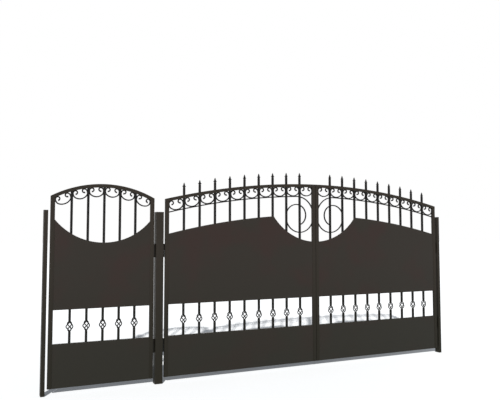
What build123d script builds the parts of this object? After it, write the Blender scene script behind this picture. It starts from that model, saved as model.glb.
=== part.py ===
# Wrought iron driveway gate: a wicket and a pair of leaves hung between three posts.
# Millimetres. +X runs along the gate to the right, +Y away from the viewer, +Z up.
# The origin is the middle of the middle post's foot.
import os
from dataclasses import dataclass
from math import asin, atan2, cos, degrees, pi, radians, sin, sqrt

from build123d import *

os.makedirs("parts", exist_ok=True)

# Posts
post_height = 1870
middle_post_width = 80
outer_post_width = 40
post_depth = 80
cap_thickness = 5
cap_edge = 1.5

# Panel sizes: the two leaves are alike, the wicket is narrower
leaf_width = 1950
wicket_width = 1090
side_gap = 25
meeting_gap = 10
ground_clearance = 65

# Frame sections
stile_width = 40
frame_depth = 30
arch_rail_height = 32
rail_height = 40
rail_depth = 25
sheet_thickness = 2

# Heights of the leaves' common arch and of the wicket's own arch, measured to the top
corner_height = 2016
leaf_crown_height = 2249
wicket_crown_height = 2154

# Window with the basket balusters
window_bottom = 508
window_top = 850

# Sheet above the window
leaf_sheet_drop = 383
dip_bottom = 1535
leaf_dip_radius = 722
wicket_dip_rise = 241

# Upright bars
bar_size = 20
leaf_bar_count = 9
wicket_bar_count = 5
wicket_bar_pitch = 168.5
spear_reach = 142
spear_length = 64
spear_neck = 13
spear_width = 38
spear_depth = 16
spear_shoulder = 20
spear_point = 3

# Scrolls, the bar under them and the volute, all bent from one flat bar
flat_depth = 12
flat_thickness = 8
curl_turn = 190
curl_end_thickness = 14
belly_chords = 2
lobe_chords = 6
curl_chords = 4
seat = 0.5

# The flats' bends end inside the bars and stiles, this far short of the far face
bend_cover = 1

# Volute: centre line radii of its shoulder and of its inner quarter turns
volute_shoulder_radius = 229
volute_drop = 20
volute_inner_radii = (150, 131)
volute_tail_radius = 127
volute_tail_turn = 72
volute_chord_turn = 13

# Baskets of twisted wire
basket_height = 116
basket_radius = 31
basket_neck_radius = 6
basket_wire = 7
basket_wires = 4
basket_twist = 180
basket_collar = 8
basket_steps = 3

# Hinges
hinge_radius = 10
hinge_sides = 8
hinge_pin_radius = 5
hinge_running_clearance = 0.05
hinge_knuckle_height = 74
hinge_pin_reach = 60
hinge_axial_clearance = 0.3
hinge_strap_width = 8
hinge_heights = (335, 1370)

# What follows from the sizes above
bar_back = -(frame_depth - bar_size) / 2
bar_front = bar_back - bar_size
flat_back = -(frame_depth - flat_depth) / 2
bend_lap = bar_size - flat_thickness / 2 - bend_cover
post_face = middle_post_width / 2
hinge_offset = side_gap / 2


@dataclass
class Scroll:
    """A C scroll: its height over all, and the radii of its centre line."""

    height: float
    lobe_radius: float
    curl_radius: float


@dataclass
class Panel:
    """One hung panel: u runs from its hinged edge towards its free edge."""

    name: str
    hinged_edge: float
    side: int
    width: float
    crown_u: float
    crown_height: float
    bar_centres: tuple
    scroll: Scroll
    spears: bool

    def x(self, u):
        return self.hinged_edge + self.side * u

    @property
    def hinge_x(self):
        return self.hinged_edge - self.side * hinge_offset

    @property
    def arch_radius(self):
        rise = self.crown_height - corner_height
        return (self.crown_u**2 + rise**2) / (2 * rise)

    @property
    def arch_centre_height(self):
        return self.crown_height - self.arch_radius

    def arch_z(self, u, radius):
        return self.arch_centre_height + sqrt(radius**2 - (u - self.crown_u) ** 2)


def evenly_spaced(count, width):
    """Bar centres with equal clear bays between the two stiles."""
    bay = (width - 2 * stile_width - count * bar_size) / (count + 1)
    return tuple(stile_width + bay * (i + 1) + bar_size * (i + 0.5) for i in range(count))


def centred_pitch(count, width, pitch):
    """Bar centres at a set pitch, with the end bays taking what is left."""
    return tuple(width / 2 + pitch * (i - (count - 1) / 2) for i in range(count))


leaf_bars = evenly_spaced(leaf_bar_count, leaf_width)
wicket_bars = centred_pitch(wicket_bar_count, wicket_width, wicket_bar_pitch)
left_edge = post_face + side_gap
right_edge = left_edge + 2 * leaf_width + meeting_gap
wicket_edge = -post_face - side_gap
crown_u = leaf_width + meeting_gap / 2

leaf_scroll = Scroll(height=114, lobe_radius=42, curl_radius=26)
wicket_scroll = Scroll(height=102, lobe_radius=37.5, curl_radius=23)
leaf_sizes = (leaf_width, crown_u, leaf_crown_height, leaf_bars, leaf_scroll)
wicket_sizes = (wicket_width, wicket_width / 2, wicket_crown_height, wicket_bars, wicket_scroll)

left_leaf = Panel("left_leaf", left_edge, 1, *leaf_sizes, spears=True)
right_leaf = Panel("right_leaf", right_edge, -1, *leaf_sizes, spears=True)
wicket = Panel("wicket", wicket_edge, -1, *wicket_sizes, spears=False)


def save(builder, name):
    builder.part.label = name
    export_step(builder.part, f"parts/{name}.step")


def upright_plane(back):
    """The vertical plane at y = back; extruding from it goes towards the viewer."""
    return Plane.XZ.offset(-back)


def upright_box(panel, u0, u1, z0, z1, back, depth):
    """Add a box to the current part, given by its reach along the panel and its height."""
    with BuildSketch(upright_plane(back)) as profile:
        with Locations(((panel.x(u0) + panel.x(u1)) / 2, (z0 + z1) / 2)):
            Rectangle(u1 - u0, z1 - z0)
    extrude(profile.sketch, amount=depth)


# Posts: square and oblong tubes standing on the ground line
left_post_x = wicket.x(wicket_width + side_gap) - outer_post_width / 2
right_post_x = right_edge + side_gap + outer_post_width / 2
posts = (
    ("left_post", left_post_x, outer_post_width),
    ("middle_post", 0, middle_post_width),
    ("right_post", right_post_x, outer_post_width),
)
for name, x, width in posts:
    with BuildPart() as post:
        with BuildSketch():
            with Locations((x, 0)):
                Rectangle(width, post_depth)
        extrude(amount=post_height - cap_thickness)
    save(post, name)

# Post caps: flat plates closing the tubes, with their top edges broken
with BuildPart() as post_caps:
    for name, x, width in posts:
        with BuildSketch(Plane.XY.offset(post_height - cap_thickness)):
            with Locations((x, 0)):
                Rectangle(width, post_depth)
        extrude(amount=cap_thickness)
    chamfer(post_caps.faces().group_by(Axis.Z)[-1].edges(), length=cap_edge)
save(post_caps, "post_caps")


# Hinges: a knuckle with a pin on the post, and a bored knuckle on the stile above it
def hinge_strap(panel, z0, face_u):
    """The flat welded between a knuckle and the face it is fixed to."""
    axis_u = -hinge_offset
    reach = hinge_radius - hinge_strap_width / 2
    inner_u = axis_u + reach if face_u > axis_u else axis_u - reach
    upright_box(
        panel,
        min(inner_u, face_u),
        max(inner_u, face_u),
        z0,
        z0 + hinge_knuckle_height,
        hinge_strap_width / 2 if face_u < axis_u else 0,
        hinge_strap_width,
    )


def hinge_barrel(panel, z0):
    """A many-sided knuckle round the panel's hinge line, added to the current part."""
    with BuildSketch(Plane.XY.offset(z0)) as section:
        with Locations((panel.hinge_x, 0)):
            RegularPolygon(hinge_radius, hinge_sides)
    extrude(section.sketch, amount=hinge_knuckle_height)


with BuildPart() as post_hinges:
    for panel in (wicket, left_leaf, right_leaf):
        for height in hinge_heights:
            hinge_barrel(panel, height)
            hinge_strap(panel, height, -side_gap)
            with Locations((panel.hinge_x, 0, height + hinge_knuckle_height)):
                Cylinder(hinge_pin_radius, hinge_pin_reach, align=(Align.CENTER, Align.CENTER, Align.MIN))
save(post_hinges, "post_hinges")


def make_hinge_knuckles(panel):
    """The upper knuckles, bored to turn on the posts' pins."""
    with BuildPart() as knuckles:
        for height in hinge_heights:
            foot = height + hinge_knuckle_height + hinge_axial_clearance
            hinge_barrel(panel, foot)
            hinge_strap(panel, foot, 0)
            with Locations((panel.hinge_x, 0, foot)):
                Cylinder(
                    hinge_pin_radius + hinge_running_clearance,
                    hinge_pin_reach,
                    align=(Align.CENTER, Align.CENTER, Align.MIN),
                    mode=Mode.SUBTRACT,
                )
    save(knuckles, f"{panel.name}_hinge_knuckles")


# Frames: two stiles under an arched rail, with cross rails between the stiles
def arch_line(panel, u0, u1, radius):
    """An arc of the panel's arch at the given radius, inside a BuildLine."""
    middle = (u0 + u1) / 2
    return ThreePointArc(*((panel.x(u), panel.arch_z(u, radius)) for u in (u0, middle, u1)))


def to_arch(panel, u0, u1, z0, radius, back, depth):
    """A plate from z0 up or down to the panel's arch at the given radius."""
    with BuildSketch(upright_plane(back)) as profile:
        with BuildLine():
            top = arch_line(panel, u0, u1, radius)
            Polyline(top @ 0, (panel.x(u0), z0), (panel.x(u1), z0), top @ 1)
        make_face()
    extrude(profile.sketch, amount=depth)


def cut_for_uprights(panel):
    """Cut the section of the bars and stiles out of the current part."""
    with BuildSketch() as sections:
        for u in panel.bar_centres:
            with Locations((panel.x(u), -frame_depth / 2)):
                Rectangle(bar_size, bar_size)
        for u in (stile_width / 2, panel.width - stile_width / 2):
            with Locations((panel.x(u), -frame_depth / 2)):
                Rectangle(stile_width, frame_depth)
    extrude(sections.sketch, amount=panel.crown_height, mode=Mode.SUBTRACT)


def make_frame(panel, free_stile_name):
    underside = panel.arch_radius - arch_rail_height
    stiles = (("hinge_stile", 0), (free_stile_name, panel.width - stile_width))
    for stile_name, u in stiles:
        with BuildPart() as stile:
            to_arch(panel, u, u + stile_width, ground_clearance, underside, 0, frame_depth)
        save(stile, f"{panel.name}_{stile_name}")

    with BuildPart() as arch_rail:
        with BuildSketch(upright_plane(0)):
            with BuildLine():
                outer = arch_line(panel, 0, panel.width, panel.arch_radius)
                inner = arch_line(panel, 0, panel.width, underside)
                Line(outer @ 0, inner @ 0)
                Line(outer @ 1, inner @ 1)
            make_face()
        extrude(amount=frame_depth)
    save(arch_rail, f"{panel.name}_arch_rail")

    bottom, sill, head = ground_clearance, window_bottom - rail_height, window_top
    with BuildPart() as cross_rails:
        for z in (bottom, sill, head):
            upright_box(panel, stile_width, panel.width - stile_width, z, z + rail_height, 0, rail_depth)
    save(cross_rails, f"{panel.name}_cross_rails")


# Sheets: welded to the front of the rails and bars, between the stiles
def make_lower_sheet(panel):
    with BuildPart() as sheet:
        upright_box(
            panel,
            stile_width,
            panel.width - stile_width,
            ground_clearance,
            window_bottom,
            bar_front,
            sheet_thickness,
        )
    save(sheet, f"{panel.name}_lower_sheet")


def make_leaf_upper_sheet(panel):
    """Follows the arch, then drops in a round dip towards the meeting stile."""
    sheet_radius = panel.arch_radius - leaf_sheet_drop
    dip_centre_z = dip_bottom + leaf_dip_radius
    arch_centre_z = panel.arch_centre_height
    meet_z = (sheet_radius**2 - leaf_dip_radius**2 - arch_centre_z**2 + dip_centre_z**2) / (
        2 * (dip_centre_z - arch_centre_z)
    )
    meet_u = panel.crown_u - sqrt(leaf_dip_radius**2 - (dip_centre_z - meet_z) ** 2)
    far_u = panel.width - stile_width

    def dip_z(u):
        return dip_centre_z - sqrt(leaf_dip_radius**2 - (u - panel.crown_u) ** 2)

    middle_u = (meet_u + far_u) / 2
    with BuildPart() as sheet:
        with BuildSketch(upright_plane(bar_front)):
            with BuildLine():
                crest = arch_line(panel, stile_width, meet_u, sheet_radius)
                dip = ThreePointArc(
                    crest @ 1, (panel.x(middle_u), dip_z(middle_u)), (panel.x(far_u), dip_z(far_u))
                )
                Polyline(
                    crest @ 0, (panel.x(stile_width), window_top), (panel.x(far_u), window_top), dip @ 1
                )
            make_face()
        extrude(amount=sheet_thickness)
    save(sheet, f"{panel.name}_upper_sheet")


def make_wicket_upper_sheet(panel):
    """One round dip from stile to stile."""
    ends = (stile_width, panel.width - stile_width)
    dip_top = dip_bottom + wicket_dip_rise
    with BuildPart() as sheet:
        with BuildSketch(upright_plane(bar_front)):
            with BuildLine():
                dip = ThreePointArc(
                    (panel.x(ends[0]), dip_top),
                    (panel.x(panel.width / 2), dip_bottom),
                    (panel.x(ends[1]), dip_top),
                )
                Polyline(dip @ 0, (panel.x(ends[0]), window_top), (panel.x(ends[1]), window_top), dip @ 1)
            make_face()
        extrude(amount=sheet_thickness)
    save(sheet, f"{panel.name}_upper_sheet")


# Bars: square uprights from the window head to the underside of the arch
def make_bars(panel):
    foot = window_top + rail_height
    underside = panel.arch_radius - arch_rail_height
    with BuildPart() as bars:
        for u in panel.bar_centres:
            to_arch(panel, u - bar_size / 2, u + bar_size / 2, foot, underside, bar_back, bar_size)
    save(bars, f"{panel.name}_bars")


# Spears: a short stem on the arch above each bar of the leaves, ending in a flat-sided head
def spear_outline(widths):
    """The head's outline for its widths at the neck, the shoulder and the point."""
    heights = (0, spear_shoulder, spear_length)
    right = [(width / 2, z) for width, z in zip(widths, heights)]
    return right + [(-x, z) for x, z in reversed(right)]


with BuildPart() as spearhead:
    with BuildSketch(Plane.XZ):
        Polygon(*spear_outline((spear_neck, spear_width, spear_point)), align=None)
    extrude(amount=bar_size, both=True)
    with BuildSketch(Plane.YZ):
        Polygon(*spear_outline((spear_neck, spear_depth, spear_point)), align=None)
    extrude(amount=spear_width, both=True, mode=Mode.INTERSECT)


def make_spears(panel):
    with BuildPart() as spears:
        for u in panel.bar_centres:
            neck = panel.arch_z(u, panel.arch_radius) + spear_reach - spear_length
            u0, u1 = u - bar_size / 2, u + bar_size / 2
            to_arch(panel, u0, u1, neck, panel.arch_radius, bar_back, bar_size)
            with Locations((panel.x(u), -frame_depth / 2, neck)):
                add(spearhead.part)
    save(spears, f"{panel.name}_spears")


# Scrolls: a broad C in each bay, open side up, whose ends curl inwards under the arch. It is bent
# wider than its bay, so the bars on either side take its lobes and part it into a belly and two curls
def bays(panel):
    """The clear bays between stiles and bars as (start, end) along the panel."""
    edges = [stile_width]
    for u in panel.bar_centres:
        edges += [u - bar_size / 2, u + bar_size / 2]
    edges.append(panel.width - stile_width)
    return list(zip(edges[0::2], edges[1::2]))


def arc_points(centre, radius, start, end, chords):
    """Points along an arc after its first one, for angles in degrees."""
    angles = [radians(start + (end - start) * i / chords) for i in range(1, chords + 1)]
    return [(centre[0] + radius * cos(angle), centre[1] + radius * sin(angle)) for angle in angles]


def scroll_line(scroll, lobe_offset):
    """Centre line of one scroll from curl to curl, about the midpoint of its two lobes."""
    low = scroll.lobe_radius - (scroll.height - flat_thickness)
    belly_radius = (lobe_offset**2 + low**2 - scroll.lobe_radius**2) / (-2 * (scroll.lobe_radius + low))
    belly_centre = low + belly_radius
    belly_end = degrees(atan2(-belly_centre, lobe_offset))
    curl_centre = (lobe_offset, scroll.lobe_radius - scroll.curl_radius)
    half = arc_points((0, belly_centre), belly_radius, -90, belly_end, belly_chords)
    half += arc_points((lobe_offset, 0), scroll.lobe_radius, belly_end, 90, lobe_chords)
    half += arc_points(curl_centre, scroll.curl_radius, 90, 90 + curl_turn, curl_chords)
    return [(-x, z) for x, z in reversed(half)] + [(0, low)] + half


def flat_outline(line, end_thickness=flat_thickness):
    """Outline of the flat bar bent along a chain of points, mitred at each bend."""
    points = [Vector(*point) for point in line]
    normals = [(b - a).normalized().rotate(Axis.Z, 90) for a, b in zip(points, points[1:])]
    thicknesses = [end_thickness] + [flat_thickness] * (len(points) - 2) + [end_thickness]
    left, right = [], []
    for point, before, after, thickness in zip(
        points, normals[:1] + normals, normals + normals[-1:], thicknesses
    ):
        mitre = (before + after) * (thickness / 2 / (1 + before.dot(after)))
        left.append(point + mitre)
        right.append(point - mitre)
    return left + right[::-1]


def make_scrolls(panel):
    lobe_outside = panel.scroll.lobe_radius + flat_thickness / 2
    underside = panel.arch_radius - arch_rail_height
    with BuildPart() as scrolls:
        for u0, u1 in bays(panel):
            lobe_offset = (u1 - u0) / 2 + bend_lap - panel.scroll.lobe_radius
            middle = (u0 + u1) / 2
            radius = sqrt((underside - lobe_outside - seat) ** 2 - lobe_offset**2)
            tilt = panel.side * asin((panel.crown_u - middle) / radius)
            plane = Plane(
                origin=(panel.x(middle), flat_back, panel.arch_z(middle, radius)),
                x_dir=(cos(tilt), 0, sin(tilt)),
                z_dir=(0, -1, 0),
            )
            with BuildSketch(plane):
                with BuildLine():
                    line = scroll_line(panel.scroll, lobe_offset)
                    Polyline(*flat_outline(line, curl_end_thickness), close=True)
                make_face()
            extrude(amount=flat_depth)
        cut_for_uprights(panel)
    save(scrolls, f"{panel.name}_scrolls")


# Bar under the scrolls, welded between the uprights; by the meeting stile it turns down and
# winds into the volute that fills the corner
def volute_line(panel):
    """Centre line as (u, z): bar to bar along the arch, then round and inwards, turn by turn."""
    arch = panel.arch_radius - arch_rail_height - panel.scroll.height - 2 * seat - flat_thickness / 2
    line = [(u, panel.arch_z(u, arch)) for u in (stile_width / 2, *panel.bar_centres[:-1])]
    right = panel.width - stile_width + bend_lap
    left = panel.bar_centres[-2] + bar_size / 2 - bend_lap
    radius = volute_shoulder_radius
    u = right - radius
    z = panel.arch_z(u, arch - radius)
    angle = degrees(atan2(z - panel.arch_centre_height, u - panel.crown_u))
    line.append((u + radius * cos(radians(angle)), z + radius * sin(radians(angle))))
    line += arc_points((u, z), radius, angle, 0, round(angle / volute_chord_turn))
    angle = 0
    z -= volute_drop
    line.append((right, z))
    turns = [((right - left) / 2, 180)] + [(quarter, 90) for quarter in volute_inner_radii]
    turns.append((volute_tail_radius, volute_tail_turn))
    for next_radius, turn in turns:
        u += (radius - next_radius) * cos(radians(angle))
        z += (radius - next_radius) * sin(radians(angle))
        radius = next_radius
        line += arc_points((u, z), radius, angle, angle - turn, round(turn / volute_chord_turn))
        angle -= turn
    return line


def make_volute_bar(panel):
    with BuildPart() as volute_bar:
        with BuildSketch(upright_plane(flat_back)):
            with BuildLine():
                line = [(panel.x(u), z) for u, z in volute_line(panel)]
                Polyline(*flat_outline(line), close=True)
            make_face()
        extrude(amount=flat_depth)
        cut_for_uprights(panel)
    save(volute_bar, f"{panel.name}_volute_bar")


# Balusters: the bars' lower lengths, each broken by a basket of twisted wires
def make_balusters(panel):
    middle = (window_bottom + window_top) / 2
    low, high = middle - basket_height / 2, middle + basket_height / 2
    with BuildPart() as balusters:
        for u in panel.bar_centres:
            for z0, z1 in ((window_bottom, low), (high, window_top)):
                upright_box(panel, u - bar_size / 2, u + bar_size / 2, z0, z1, bar_back, bar_size)
    save(balusters, f"{panel.name}_balusters")


def basket_wire_line():
    """Centre line of one wire: a twist whose radius swells as a half sine."""
    rise = basket_height - basket_collar
    points = []
    for i in range(basket_steps + 1):
        t = i / basket_steps
        radius = basket_neck_radius + (basket_radius - basket_neck_radius) * sin(pi * t)
        angle = radians(45 + basket_twist * t)
        points.append((radius * cos(angle), radius * sin(angle), basket_collar / 2 + rise * t))
    return points


with BuildPart() as wire:
    with BuildLine():
        wire_path = Polyline(*basket_wire_line())
    with BuildSketch(Plane(wire_path @ 0, x_dir=(1, 1, 0), z_dir=wire_path % 0)):
        Rectangle(basket_wire, basket_wire)
    sweep(path=wire_path, transition=Transition.RIGHT)

with BuildPart() as basket:
    with PolarLocations(0, basket_wires):
        add(wire.part)
    with Locations((0, 0, 0), (0, 0, basket_height - basket_collar)):
        Box(bar_size, bar_size, basket_collar, align=(Align.CENTER, Align.CENTER, Align.MIN))


def make_baskets(panel):
    low = (window_bottom + window_top - basket_height) / 2
    with BuildPart() as baskets:
        with Locations(*((panel.x(u), -frame_depth / 2, low) for u in panel.bar_centres)):
            add(basket.part)
    save(baskets, f"{panel.name}_baskets")


for panel, free_stile_name in (
    (wicket, "free_stile"),
    (left_leaf, "meeting_stile"),
    (right_leaf, "meeting_stile"),
):
    make_frame(panel, free_stile_name)
    make_lower_sheet(panel)
    if panel.spears:
        make_leaf_upper_sheet(panel)
        make_volute_bar(panel)
        make_spears(panel)
    else:
        make_wicket_upper_sheet(panel)
    make_bars(panel)
    make_scrolls(panel)
    make_balusters(panel)
    make_baskets(panel)
    make_hinge_knuckles(panel)
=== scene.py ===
"""Wrought iron driveway gate: the pieces that show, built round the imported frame.

Lengths are millimetres until a mesh is made, which is in metres. Each panel is drawn in u, the
distance from its hinged edge, and z, the height over the ground. Most pieces are a section carried
along a path: the path is an array of points, the section an array of offsets, and their sum gives
every vertex at once.
"""
import logging
from dataclasses import dataclass, replace
from enum import Enum
from typing import Callable

import bpy
import numpy as np
from mathutils import Matrix


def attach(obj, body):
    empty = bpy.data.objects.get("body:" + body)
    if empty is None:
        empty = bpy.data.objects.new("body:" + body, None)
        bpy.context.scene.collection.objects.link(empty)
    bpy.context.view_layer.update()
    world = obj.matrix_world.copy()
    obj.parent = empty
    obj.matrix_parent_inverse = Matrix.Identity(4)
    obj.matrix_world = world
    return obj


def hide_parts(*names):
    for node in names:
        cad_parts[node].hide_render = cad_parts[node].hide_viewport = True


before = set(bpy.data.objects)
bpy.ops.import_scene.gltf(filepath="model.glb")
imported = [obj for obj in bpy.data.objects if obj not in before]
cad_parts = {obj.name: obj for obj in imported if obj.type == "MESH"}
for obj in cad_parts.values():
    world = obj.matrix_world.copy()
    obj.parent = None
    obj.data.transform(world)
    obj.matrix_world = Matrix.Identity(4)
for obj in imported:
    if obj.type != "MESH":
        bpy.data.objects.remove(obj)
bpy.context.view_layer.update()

log = logging.getLogger("gate")

# Millimetres to metres
MM = 0.001
Array = np.ndarray
RIGHT, BACK, UP = np.eye(3)


class Slot(Enum):
    """The record's material slots."""

    FRAME = "frame_paint"
    SHEET = "sheet_paint"
    IRONWORK = "ironwork_paint"
    HINGE = "hinge_steel"


class Hand(Enum):
    """The side towards which a panel runs from its hinges, as seen from the front."""

    TO_RIGHT = 1
    TO_LEFT = -1


# Forms


@dataclass
class Form:
    """A closed surface, or several: vertices in millimetres and arrays of faces by corner count."""

    vertices: Array
    faces: list[Array]

    @staticmethod
    def joined(forms: list["Form"]) -> "Form":
        """Join forms, the face numbers of each shifted past the vertices before it.

        Args:
            forms: The forms, in order.

        Returns:
            One form with all their vertices and faces.
        """
        shifts = np.cumsum([0] + [len(form.vertices) for form in forms[:-1]])
        faces = [face + shift for form, shift in zip(forms, shifts) for face in form.faces]
        return Form(np.concatenate([form.vertices for form in forms]), faces)

    def to_object(self, name: str, crease_degrees: float = 35.0) -> bpy.types.Object:
        """Make the Blender mesh, in metres, smooth but for edges sharper than the crease.

        Args:
            name: Name of the new object and its mesh.
            crease_degrees: Angle between faces from which their edge stays sharp.

        Returns:
            The linked object, at the origin.
        """
        mesh = bpy.data.meshes.new(name)
        mesh.vertices.add(len(self.vertices))
        mesh.vertices.foreach_set("co", (self.vertices * MM).astype(np.float32).ravel())
        corners = np.concatenate([face.ravel() for face in self.faces]).astype(np.int32)
        counts = np.concatenate([np.full(len(face), face.shape[1]) for face in self.faces])
        starts = np.concatenate([[0], np.cumsum(counts)[:-1]]).astype(np.int32)
        mesh.loops.add(len(corners))
        mesh.loops.foreach_set("vertex_index", corners)
        mesh.polygons.add(len(counts))
        mesh.polygons.foreach_set("loop_start", starts)
        mesh.polygons.foreach_set("use_smooth", np.ones(len(counts), dtype=bool))
        mesh.update(calc_edges=True)
        mesh.set_sharp_from_angle(angle=np.radians(crease_degrees))
        piece = bpy.data.objects.new(name, mesh)
        bpy.context.scene.collection.objects.link(piece)
        return piece


def rounded_section(width: float, depth: float, radius: float, steps: int = 3) -> Array:
    """A rectangle whose corners are quarter circles, as offsets anticlockwise round its middle.

    Each corner's points are its centre plus the radius times (cos, sin) of angles through its quarter.

    Args:
        width: Size along the first offset.
        depth: Size along the second.
        radius: Radius of the corners.
        steps: Chords in each quarter circle.

    Returns:
        The offsets, one row each.
    """
    quarter = np.linspace(0, np.pi / 2, steps + 1)
    angles = (np.arange(4)[:, None] * np.pi / 2 + quarter).ravel()
    signs = np.repeat(np.array([[1, 1], [-1, 1], [-1, -1], [1, -1]]), steps + 1, axis=0)
    centres = signs * np.array([width / 2 - radius, depth / 2 - radius])
    return centres + radius * np.stack([np.cos(angles), np.sin(angles)], axis=1)


def round_section(radius: float, steps: int) -> Array:
    """A circle of offsets: the radius times (cos, sin) of equal angles."""
    angles = np.arange(steps) * 2 * np.pi / steps
    return radius * np.stack([np.cos(angles), np.sin(angles)], axis=1)


def ring_faces(rings: int, corners: int, loop: bool) -> Array:
    """Quads between neighbouring rings: corners c and c + 1 of ring r with the same two of ring r + 1.

    Args:
        rings: Number of rings.
        corners: Vertices in each ring.
        loop: Whether the last ring joins the first.

    Returns:
        Vertex numbers of the quads, one row each.
    """
    ring = np.arange(rings if loop else rings - 1)[:, None]
    corner = np.arange(corners)
    after, beside = (ring + 1) % rings, (corner + 1) % corners
    quads = [ring * corners + corner, ring * corners + beside, after * corners + beside]
    return np.stack(quads + [after * corners + corner], axis=-1).reshape(-1, 4)


def carried(
    path: Array, across: Array, deep: Array, section: Array, scale: Array | None = None, loop: bool = False,
) -> Form:
    """A section carried along a path: each vertex is path + a * across + b * deep.

    Args:
        path: Points of the path, one row each.
        across: Unit vectors for the section's first offset, one row or one per point.
        deep: Unit vectors for its second offset; across x deep is the path's direction.
        section: The section's offsets, anticlockwise.
        scale: Factors on both offsets, one row per point.
        loop: Whether the path closes on itself; otherwise both ends are capped.

    Returns:
        A closed form whose faces point outwards.
    """
    count, corners = len(path), len(section)
    across = np.broadcast_to(across, path.shape)
    deep = np.broadcast_to(deep, path.shape)
    offsets = np.broadcast_to(section, (count, corners, 2))
    if scale is not None:
        offsets = offsets * scale[:, None, :]
    vertices = path[:, None, :] + offsets[..., :1] * across[:, None, :] + offsets[..., 1:] * deep[:, None, :]
    faces = [ring_faces(count, corners, loop)]
    if not loop:
        ring = np.arange(corners)
        faces += [ring[None, ::-1], ring[None, :] + (count - 1) * corners]
    return Form(vertices.reshape(-1, 3), faces)


def directions(path: Array) -> Array:
    """Unit direction at each point of a path, from its neighbours on both sides."""
    step = np.gradient(path, axis=0)
    return step / np.linalg.norm(step, axis=1, keepdims=True)


def standing(x: float, y: float, heights: Array) -> Array:
    """A path straight up at one place, through the given heights."""
    return np.stack([np.full(len(heights), x), np.full(len(heights), y), heights], axis=1)


def bent_flat(path: Array, section: Array, scale: Array | None = None) -> Form:
    """A section carried along a path in an upright plane, its second offset to the back."""
    return carried(path, np.cross(BACK, directions(path)), BACK, section, scale)


def upright(
    x: float, y: float, low: float, high: float, section: Array, edge: float = 0.0,
    top: Callable[[Array], Array] | None = None,
) -> Form:
    """A standing bar: the section at its foot and its top, drawn in by the edge at both.

    Args:
        x, y: Place of its middle.
        low, high: Heights of its foot and top.
        section: Offsets along X and Y.
        edge: How far its ends are eased, as a bevel.
        top: Height of the top at each x, where the bar is cut to a curve.

    Returns:
        The closed form.
    """
    heights = np.array([low, low + edge, high - edge, high]) if edge else np.array([low, high])
    scale = np.ones((len(heights), 2))
    if edge:
        scale[[0, -1]] = 1 - edge / np.abs(section).max(axis=0)
    form = carried(standing(x, y, heights), RIGHT, BACK, section, scale)
    if top is not None:
        last = form.vertices[-len(section):]
        last[:, 2] = top(last[:, 0])
    return form


def level(z: float, y: float, start: float, end: float, section: Array) -> Form:
    """A bar lying along X: the section's first offset runs down, its second to the back."""
    path = np.array([[start, y, z], [end, y, z]])
    return carried(path, -UP, BACK, section)


def turned(x: float, y: float, profile: Array, steps: int = 28) -> Form:
    """A turned solid: rings of (radius, height) round an upright axis, the inside of a bore first."""
    scale = np.repeat(profile[:, :1], 2, axis=1)
    return carried(standing(x, y, profile[:, 1]), RIGHT, BACK, round_section(1.0, steps), scale)


def bead(
    path: Array, outwards: Array, radius: float, pitch: float = 5.0, ripple: float = 0.13, corners: int = 6,
) -> Form:
    """A weld bead: a circle carried round a closed path, scaled by 1 + ripple * sin(2 pi distance / pitch).

    Args:
        path: Points of the path, one row each.
        outwards: Directions away from what the path runs round, one row each.
        radius: The bead's mean radius.
        pitch: Distance from one ripple to the next.
        ripple: How far the radius swells and falls, as a share of it.
        corners: Corners of the circle.

    Returns:
        The closed form.
    """
    ahead, behind = np.roll(path, -1, axis=0), np.roll(path, 1, axis=0)
    along = (ahead - behind) / np.linalg.norm(ahead - behind, axis=1, keepdims=True)
    outwards = outwards / np.linalg.norm(outwards, axis=1, keepdims=True)
    travelled = np.cumsum(np.linalg.norm(path - behind, axis=1))
    swell = 1 + ripple * np.sin(2 * np.pi * travelled / pitch)
    scale = np.repeat(swell[:, None], 2, axis=1)
    section = round_section(radius, corners)
    return carried(path, outwards, np.cross(along, outwards), section, scale, loop=True)


# Sizes and panels


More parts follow.
